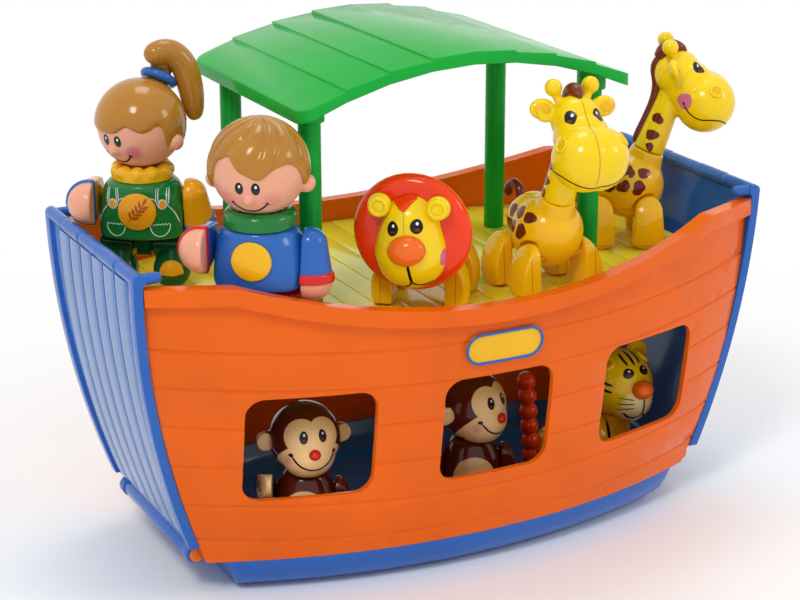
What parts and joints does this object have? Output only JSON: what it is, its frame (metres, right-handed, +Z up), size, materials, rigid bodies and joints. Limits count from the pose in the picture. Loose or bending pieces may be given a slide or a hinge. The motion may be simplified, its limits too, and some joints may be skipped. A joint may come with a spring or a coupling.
{
  "type": "toy ark",
  "caption": "Toy ark hull with drop-down end ramps, cut-out windows, lift-out deck and arched roof, carrying jointed people and animal figures.",
  "frame": {"origin": "middle of the hull's flat underside, on the surface it stands on", "axes": "+Z up; +X along the hull towards the stern; -Y is the near side, which carries the name plate"},
  "size_m": [0.3897, 0.2406, 0.286],
  "materials": {
    "orange_plastic": "glossy moulded orange",
    "blue_plastic": "glossy moulded blue",
    "yellow_plastic": "glossy moulded yellow",
    "green_plastic": "glossy moulded green",
    "dark_green_plastic": "glossy moulded dark green",
    "red_plastic": "glossy moulded red",
    "skin_plastic": "satin moulded flesh tone",
    "hair_plastic": "glossy golden brown",
    "brown_plastic": "glossy moulded dark brown"
  },
  "bodies": {
    "hull": {"base_tub": "blue_plastic", "near_side": "orange_plastic", "far_side": "orange_plastic", "name_plate": "yellow_plastic", "ramp_hinge_pins": "orange_plastic"},
    "bow_ramp": {"bow_ramp": "blue_plastic"},
    "stern_ramp": {"stern_ramp": "blue_plastic"},
    "deck": {"deck": "yellow_plastic"},
    "roof": {"roof_panel": "green_plastic", "roof_posts": "green_plastic"},
    "girl": {"girl_torso": "dark_green_plastic", "girl_collar": "yellow_plastic", "girl_badge": "orange_plastic"},
    "girl_head": {"girl_head": "skin_plastic", "girl_hair": "hair_plastic", "girl_hair_band": "blue_plastic"},
    "girl_arm_left": {"girl_arm_left": "yellow_plastic"},
    "girl_arm_right": {"girl_arm_right": "yellow_plastic"},
    "girl_legs": {"girl_legs": "dark_green_plastic"},
    "boy": {"boy_torso": "blue_plastic", "boy_collar": "green_plastic", "boy_badge": "yellow_plastic"},
    "boy_head": {"boy_head": "skin_plastic", "boy_hair": "hair_plastic"},
    "boy_arm_left": {"boy_arm_left": "blue_plastic"},
    "boy_arm_right": {"boy_arm_right": "blue_plastic"},
    "boy_legs": {"boy_legs": "red_plastic"},
    "lion": {"lion_body": "yellow_plastic"},
    "lion_head": {"lion_mane": "orange_plastic", "lion_face": "yellow_plastic"},
    "lion_fore_legs": {"lion_fore_legs": "yellow_plastic"},
    "lion_hind_legs": {"lion_hind_legs": "yellow_plastic"},
    "giraffe_one": {"giraffe_one_body": "yellow_plastic", "giraffe_one_tail": "brown_plastic"},
    "giraffe_one_neck": {"giraffe_one_neck": "yellow_plastic"},
    "giraffe_one_fore_legs": {"giraffe_one_fore_legs": "yellow_plastic"},
    "giraffe_one_hind_legs": {"giraffe_one_hind_legs": "yellow_plastic"},
    "giraffe_two": {"giraffe_two_body": "yellow_plastic", "giraffe_two_tail": "brown_plastic"},
    "giraffe_two_neck": {"giraffe_two_neck": "yellow_plastic"},
    "giraffe_two_fore_legs": {"giraffe_two_fore_legs": "yellow_plastic"},
    "giraffe_two_hind_legs": {"giraffe_two_hind_legs": "yellow_plastic"},
    "monkey_one": {"monkey_one_body": "brown_plastic"},
    "monkey_one_head": {"monkey_one_head": "brown_plastic"},
    "monkey_one_arm_left": {"monkey_one_arm_left": "brown_plastic"},
    "monkey_one_arm_right": {"monkey_one_arm_right": "brown_plastic"},
    "monkey_one_legs": {"monkey_one_legs": "brown_plastic"},
    "monkey_two": {"monkey_two_body": "brown_plastic"},
    "monkey_two_head": {"monkey_two_head": "brown_plastic"},
    "monkey_two_arm_left": {"monkey_two_arm_left": "brown_plastic"},
    "monkey_two_arm_right": {"monkey_two_arm_right": "brown_plastic"},
    "monkey_two_legs": {"monkey_two_legs": "brown_plastic"},
    "tiger": {"tiger_body": "yellow_plastic", "tiger_tail": "orange_plastic"},
    "tiger_head": {"tiger_head": "yellow_plastic"},
    "tiger_fore_legs": {"tiger_fore_legs": "yellow_plastic"},
    "tiger_hind_legs": {"tiger_hind_legs": "yellow_plastic"}
  },
  "joints": [
    {"name": "bow_ramp_hinge", "type": "hinge", "parent": "hull", "child": "bow_ramp", "pos_m": [-0.15488, 0, 0.024], "axis": [0, -1, 0], "range_deg": [0, 75]},
    {"name": "stern_ramp_hinge", "type": "hinge", "parent": "hull", "child": "stern_ramp", "pos_m": [0.15488, 0, 0.024], "axis": [0, 1, 0], "range_deg": [0, 75]},
    {"name": "deck_lift", "type": "slide", "parent": "hull", "child": "deck", "axis": [0, 0, 1], "range_m": [0, 0.06]},
    {"name": "roof_lift", "type": "slide", "parent": "deck", "child": "roof", "axis": [0, 0, 1], "range_m": [0, 0.05]},
    {"name": "girl_lift", "type": "slide", "parent": "deck", "child": "girl", "axis": [0, 0, 1], "range_m": [0, 0.05]},
    {"name": "boy_lift", "type": "slide", "parent": "deck", "child": "boy", "axis": [-0.5, 0, 0.866], "range_m": [0, 0.04]},
    {"name": "lion_lift", "type": "slide", "parent": "deck", "child": "lion", "axis": [0, 0, 1], "range_m": [0, 0.025]},
    {"name": "giraffe_one_lift", "type": "slide", "parent": "deck", "child": "giraffe_one", "axis": [0, -0.5, 0.866], "range_m": [0, 0.04]},
    {"name": "giraffe_two_lift", "type": "slide", "parent": "deck", "child": "giraffe_two", "axis": [0, 0, 1], "range_m": [0, 0.05]},
    {"name": "monkey_one_shove", "type": "slide", "parent": "hull", "child": "monkey_one", "axis": [0, 1, 0], "range_m": [0, 0.01]},
    {"name": "monkey_two_shove", "type": "slide", "parent": "hull", "child": "monkey_two", "axis": [0, 1, 0], "range_m": [0, 0.01]},
    {"name": "tiger_shove", "type": "slide", "parent": "hull", "child": "tiger", "axis": [0, 1, 0], "range_m": [0, 0.01]},
    {"name": "girl_neck", "type": "hinge", "parent": "girl", "child": "girl_head", "pos_m": [-0.145, 0.035, 0.2103], "axis": [0, 0, 1], "range_deg": [-60, 60]},
    {"name": "girl_shoulder_left", "type": "hinge", "parent": "girl", "child": "girl_arm_left", "pos_m": [-0.145, 0.035, 0.2008], "axis": [-0.8572, 0.515, 0], "range_deg": [-20, 80]},
    {"name": "girl_shoulder_right", "type": "hinge", "parent": "girl", "child": "girl_arm_right", "pos_m": [-0.145, 0.035, 0.2008], "axis": [-0.8572, 0.515, 0], "range_deg": [0, 40]},
    {"name": "girl_hips", "type": "hinge", "parent": "girl", "child": "girl_legs", "pos_m": [-0.145, 0.035, 0.1723], "axis": [-0.8572, 0.515, 0], "range_deg": [-15, 45]},
    {"name": "boy_neck", "type": "hinge", "parent": "boy", "child": "boy_head", "pos_m": [-0.119, -0.066, 0.2068], "axis": [0, 0, 1], "range_deg": [-60, 60]},
    {"name": "boy_shoulder_left", "type": "hinge", "parent": "boy", "child": "boy_arm_left", "pos_m": [-0.119, -0.066, 0.1973], "axis": [-0.788, 0.6157, 0], "range_deg": [-20, 0]},
    {"name": "boy_shoulder_right", "type": "hinge", "parent": "boy", "child": "boy_arm_right", "pos_m": [-0.119, -0.066, 0.1973], "axis": [-0.788, 0.6157, 0], "range_deg": [-40, 40]},
    {"name": "boy_hips", "type": "hinge", "parent": "boy", "child": "boy_legs", "pos_m": [-0.119, -0.066, 0.1688], "axis": [-0.788, 0.6157, 0], "range_deg": [-15, 15]},
    {"name": "lion_fore_axle", "type": "hinge", "parent": "lion", "child": "lion_fore_legs", "pos_m": [-0.0237, -0.06021, 0.1693], "axis": [-0.7771, 0.6293, 0], "range_deg": [-15, 15]},
    {"name": "lion_hind_axle", "type": "hinge", "parent": "lion", "child": "lion_hind_legs", "pos_m": [-0.00482, -0.0369, 0.1693], "axis": [-0.7771, 0.6293, 0], "range_deg": [-5, 15]},
    {"name": "giraffe_one_fore_axle", "type": "hinge", "parent": "giraffe_one", "child": "giraffe_one_fore_legs", "pos_m": [0.05151, -0.07549, 0.1693], "axis": [-0.9994, -0.0349, 0], "range_deg": [-15, 15]},
    {"name": "giraffe_one_hind_axle", "type": "hinge", "parent": "giraffe_one", "child": "giraffe_one_hind_legs", "pos_m": [0.05049, -0.04651, 0.1693], "axis": [-0.9994, -0.0349, 0], "range_deg": [-15, 15]},
    {"name": "giraffe_two_fore_axle", "type": "hinge", "parent": "giraffe_two", "child": "giraffe_two_fore_legs", "pos_m": [0.15192, -0.01058, 0.1693], "axis": [-0.454, -0.891, 0], "range_deg": [-15, 15]},
    {"name": "giraffe_two_hind_axle", "type": "hinge", "parent": "giraffe_two", "child": "giraffe_two_hind_legs", "pos_m": [0.12608, 0.00258, 0.1693], "axis": [-0.454, -0.891, 0], "range_deg": [-15, 15]},
    {"name": "tiger_fore_axle", "type": "hinge", "parent": "tiger", "child": "tiger_fore_legs", "pos_m": [0.11276, -0.03478, 0.0273], "axis": [-0.1736, -0.9848, 0], "range_deg": [-15, 15]},
    {"name": "tiger_hind_axle", "type": "hinge", "parent": "tiger", "child": "tiger_hind_legs", "pos_m": [0.08124, -0.02922, 0.0273], "axis": [-0.1736, -0.9848, 0], "range_deg": [-15, 15]},
    {"name": "lion_neck", "type": "hinge", "parent": "lion", "child": "lion_head", "pos_m": [-0.03377, -0.07265, 0.1943], "axis": [-0.6293, -0.7771, 0], "range_deg": [-45, 45]},
    {"name": "giraffe_one_neck", "type": "hinge", "parent": "giraffe_one", "child": "giraffe_one_neck", "pos_m": [0.05152, -0.07599, 0.2013], "axis": [0.0119, -0.3418, 0.9397], "range_deg": [-45, 45]},
    {"name": "giraffe_two_neck", "type": "hinge", "parent": "giraffe_two", "child": "giraffe_two_neck", "pos_m": [0.15237, -0.01081, 0.2013], "axis": [0.3047, -0.1553, 0.9397], "range_deg": [-45, 45]},
    {"name": "tiger_neck", "type": "hinge", "parent": "tiger", "child": "tiger_head", "pos_m": [0.12064, -0.03617, 0.0503], "axis": [0, 0, 1], "range_deg": [-30, 60]},
    {"name": "monkey_one_neck", "type": "hinge", "parent": "monkey_one", "child": "monkey_one_head", "pos_m": [-0.09, -0.052, 0.0613], "axis": [0, 0, 1], "range_deg": [-40, 40]},
    {"name": "monkey_one_shoulder_left", "type": "hinge", "parent": "monkey_one", "child": "monkey_one_arm_left", "pos_m": [-0.09, -0.052, 0.0493], "axis": [-0.891, 0.454, 0], "range_deg": [-20, 30]},
    {"name": "monkey_one_shoulder_right", "type": "hinge", "parent": "monkey_one", "child": "monkey_one_arm_right", "pos_m": [-0.09, -0.052, 0.0493], "axis": [-0.891, 0.454, 0], "range_deg": [-60, 10]},
    {"name": "monkey_one_hips", "type": "hinge", "parent": "monkey_one", "child": "monkey_one_legs", "pos_m": [-0.09, -0.052, 0.0183], "axis": [-0.891, 0.454, 0], "range_deg": [-15, 45]},
    {"name": "monkey_two_neck", "type": "hinge", "parent": "monkey_two", "child": "monkey_two_head", "pos_m": [0.013, -0.052, 0.0613], "axis": [0, 0, 1], "range_deg": [-40, 40]},
    {"name": "monkey_two_shoulder_left", "type": "hinge", "parent": "monkey_two", "child": "monkey_two_arm_left", "pos_m": [0.013, -0.052, 0.0493], "axis": [-0.9272, 0.3746, 0], "range_deg": [-20, 60]},
    {"name": "monkey_two_shoulder_right", "type": "hinge", "parent": "monkey_two", "child": "monkey_two_arm_right", "pos_m": [0.013, -0.052, 0.0493], "axis": [-0.9272, 0.3746, 0], "range_deg": [-20, 60]},
    {"name": "monkey_two_hips", "type": "hinge", "parent": "monkey_two", "child": "monkey_two_legs", "pos_m": [0.013, -0.052, 0.0183], "axis": [-0.9272, 0.3746, 0], "range_deg": [-15, 45]}
  ]
}
